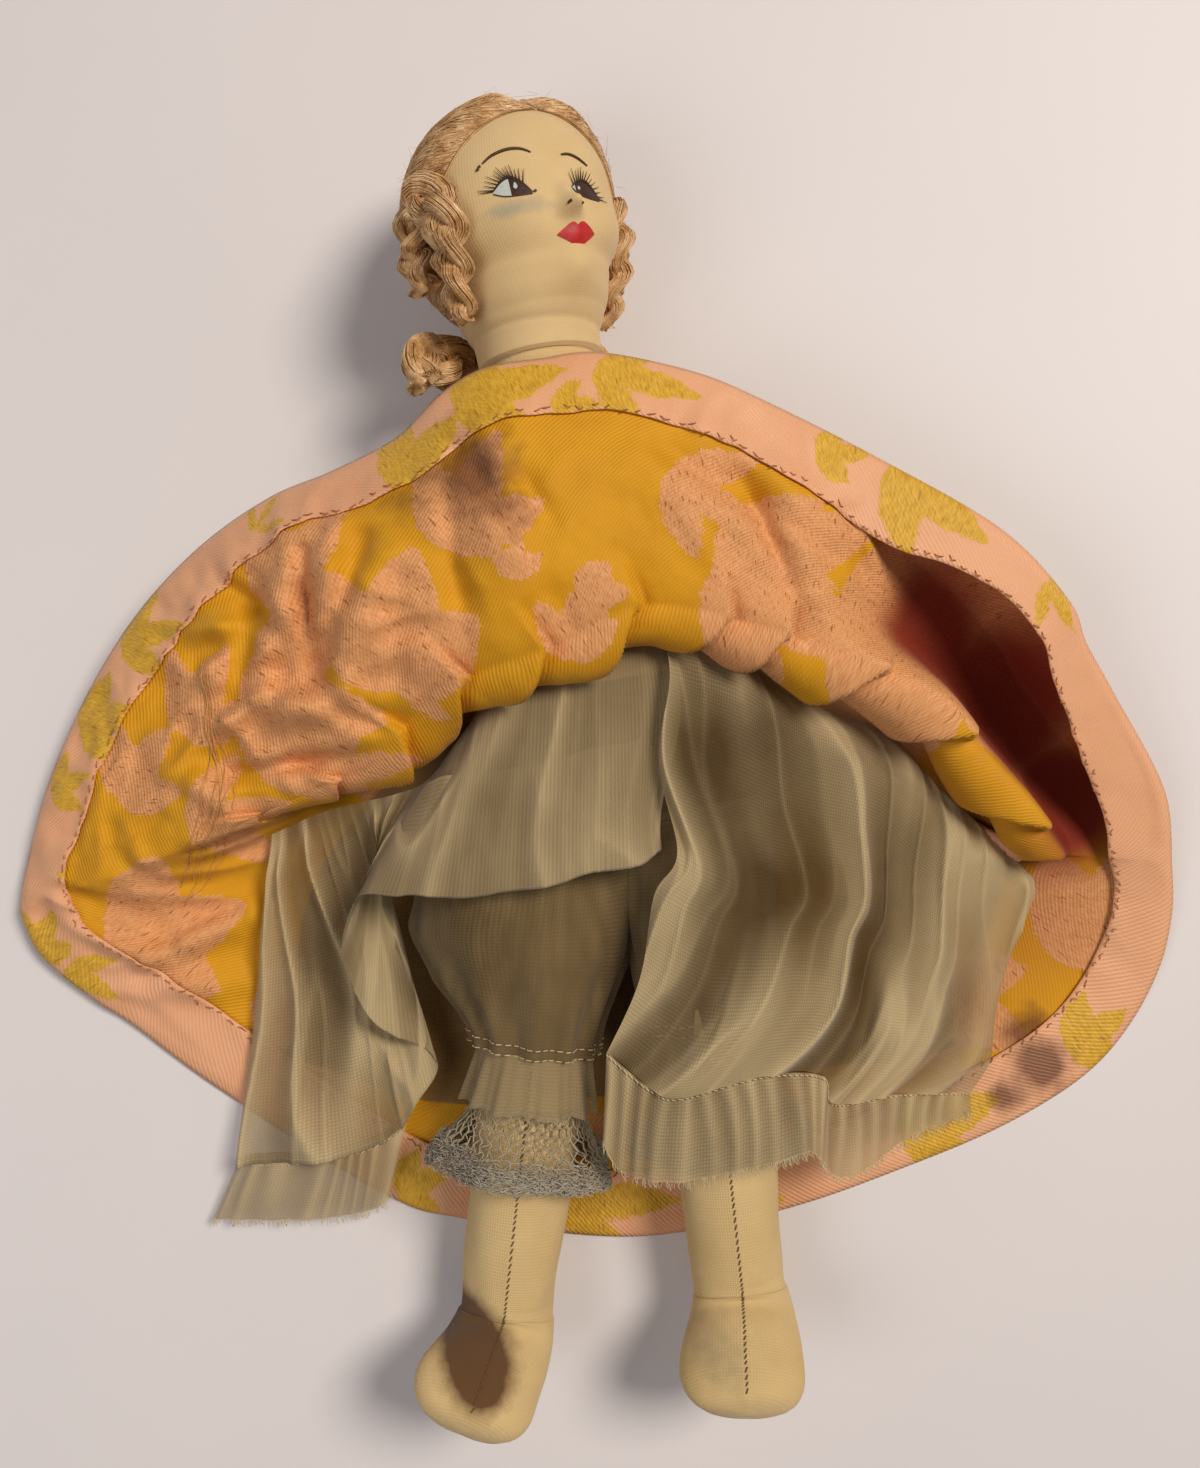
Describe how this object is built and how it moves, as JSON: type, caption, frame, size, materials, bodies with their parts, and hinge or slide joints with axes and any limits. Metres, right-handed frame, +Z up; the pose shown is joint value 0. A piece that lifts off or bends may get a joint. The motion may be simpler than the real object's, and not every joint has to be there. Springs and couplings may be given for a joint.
{
  "type": "stuffed cloth doll",
  "caption": "Stuffed cloth doll lying on its back, with plaited hair, a full brocade skirt turned up to the neck, a sheer petticoat and bloomers, and limbs that swing on sewn seams.",
  "frame": {"origin": "on the surface that the doll lies on, under the middle of the two hip seams", "axes": "+Z up out of the chest, +Y along the doll towards its head, +X to the doll's left hand; the torso leans 10 degrees from +Y towards -X"},
  "size_m": [0.3541, 0.376, 0.0718],
  "materials": {
    "calico": "matt cream cotton cloth",
    "moulded_cloth": "stiffened cream cloth with painted features",
    "kapok": "loose fibre filling",
    "hair": "honey-blond combed mohair",
    "brocade": "gold and salmon brocade",
    "sateen": "salmon sateen with gold leaves",
    "muslin": "sheer olive-beige muslin",
    "knit": "open grey knit with a brushed edge",
    "linen": "waxed linen thread",
    "beech": "plain turned beech"
  },
  "bodies": {
    "torso": {"torso_skin": "calico", "torso_filling": "kapok", "neck_dowel": "beech", "bodice": "brocade", "skirt": "brocade", "hem_facing": "sateen", "bloomers": "muslin", "petticoat": "muslin", "right_petticoat_ruffle": "muslin", "left_petticoat_ruffle": "muslin", "right_hip_thread": "linen", "left_hip_thread": "linen", "right_shoulder_thread": "linen", "left_shoulder_thread": "linen"},
    "head": {"head_mask": "moulded_cloth", "head_filling": "kapok", "wig_cap": "hair", "right_plait": "hair", "left_plait": "hair", "nape_bun": "hair"},
    "right_arm": {"right_arm_skin": "calico", "right_arm_filling": "kapok"},
    "left_arm": {"left_arm_skin": "calico", "left_arm_filling": "kapok"},
    "right_leg": {"right_leg_skin": "calico", "right_leg_filling": "kapok", "right_bloomer_frill": "muslin", "right_knit_band": "knit"},
    "left_leg": {"left_leg_skin": "calico", "left_leg_filling": "kapok", "left_bloomer_frill": "muslin", "left_knit_band": "knit"}
  },
  "joints": [
    {"name": "neck_swivel", "type": "hinge", "parent": "torso", "child": "head", "pos_m": [-0.02362, 0.13393, 0.034], "axis": [-0.1736, 0.9848, 0], "range_deg": [-80, 20]},
    {"name": "right_shoulder", "type": "hinge", "parent": "torso", "child": "right_arm", "pos_m": [-0.05933, 0.10327, 0.02931], "axis": [0, 0, 1], "range_deg": [-12, 12]},
    {"name": "left_shoulder", "type": "hinge", "parent": "torso", "child": "left_arm", "pos_m": [0.02044, 0.11733, 0.02931], "axis": [0, 0, 1], "range_deg": [-12, 12]},
    {"name": "right_hip", "type": "hinge", "parent": "torso", "child": "right_leg", "pos_m": [-0.0192, -0.00339, 0.0252], "axis": [-0.9848, -0.1736, 0], "range_deg": [0, 90], "deforming": ["bloomers", "petticoat", "right_petticoat_ruffle"]},
    {"name": "left_hip", "type": "hinge", "parent": "torso", "child": "left_leg", "pos_m": [0.0192, 0.00339, 0.0252], "axis": [-0.9848, -0.1736, 0], "range_deg": [0, 90], "deforming": ["left_petticoat_ruffle"]}
  ]
}
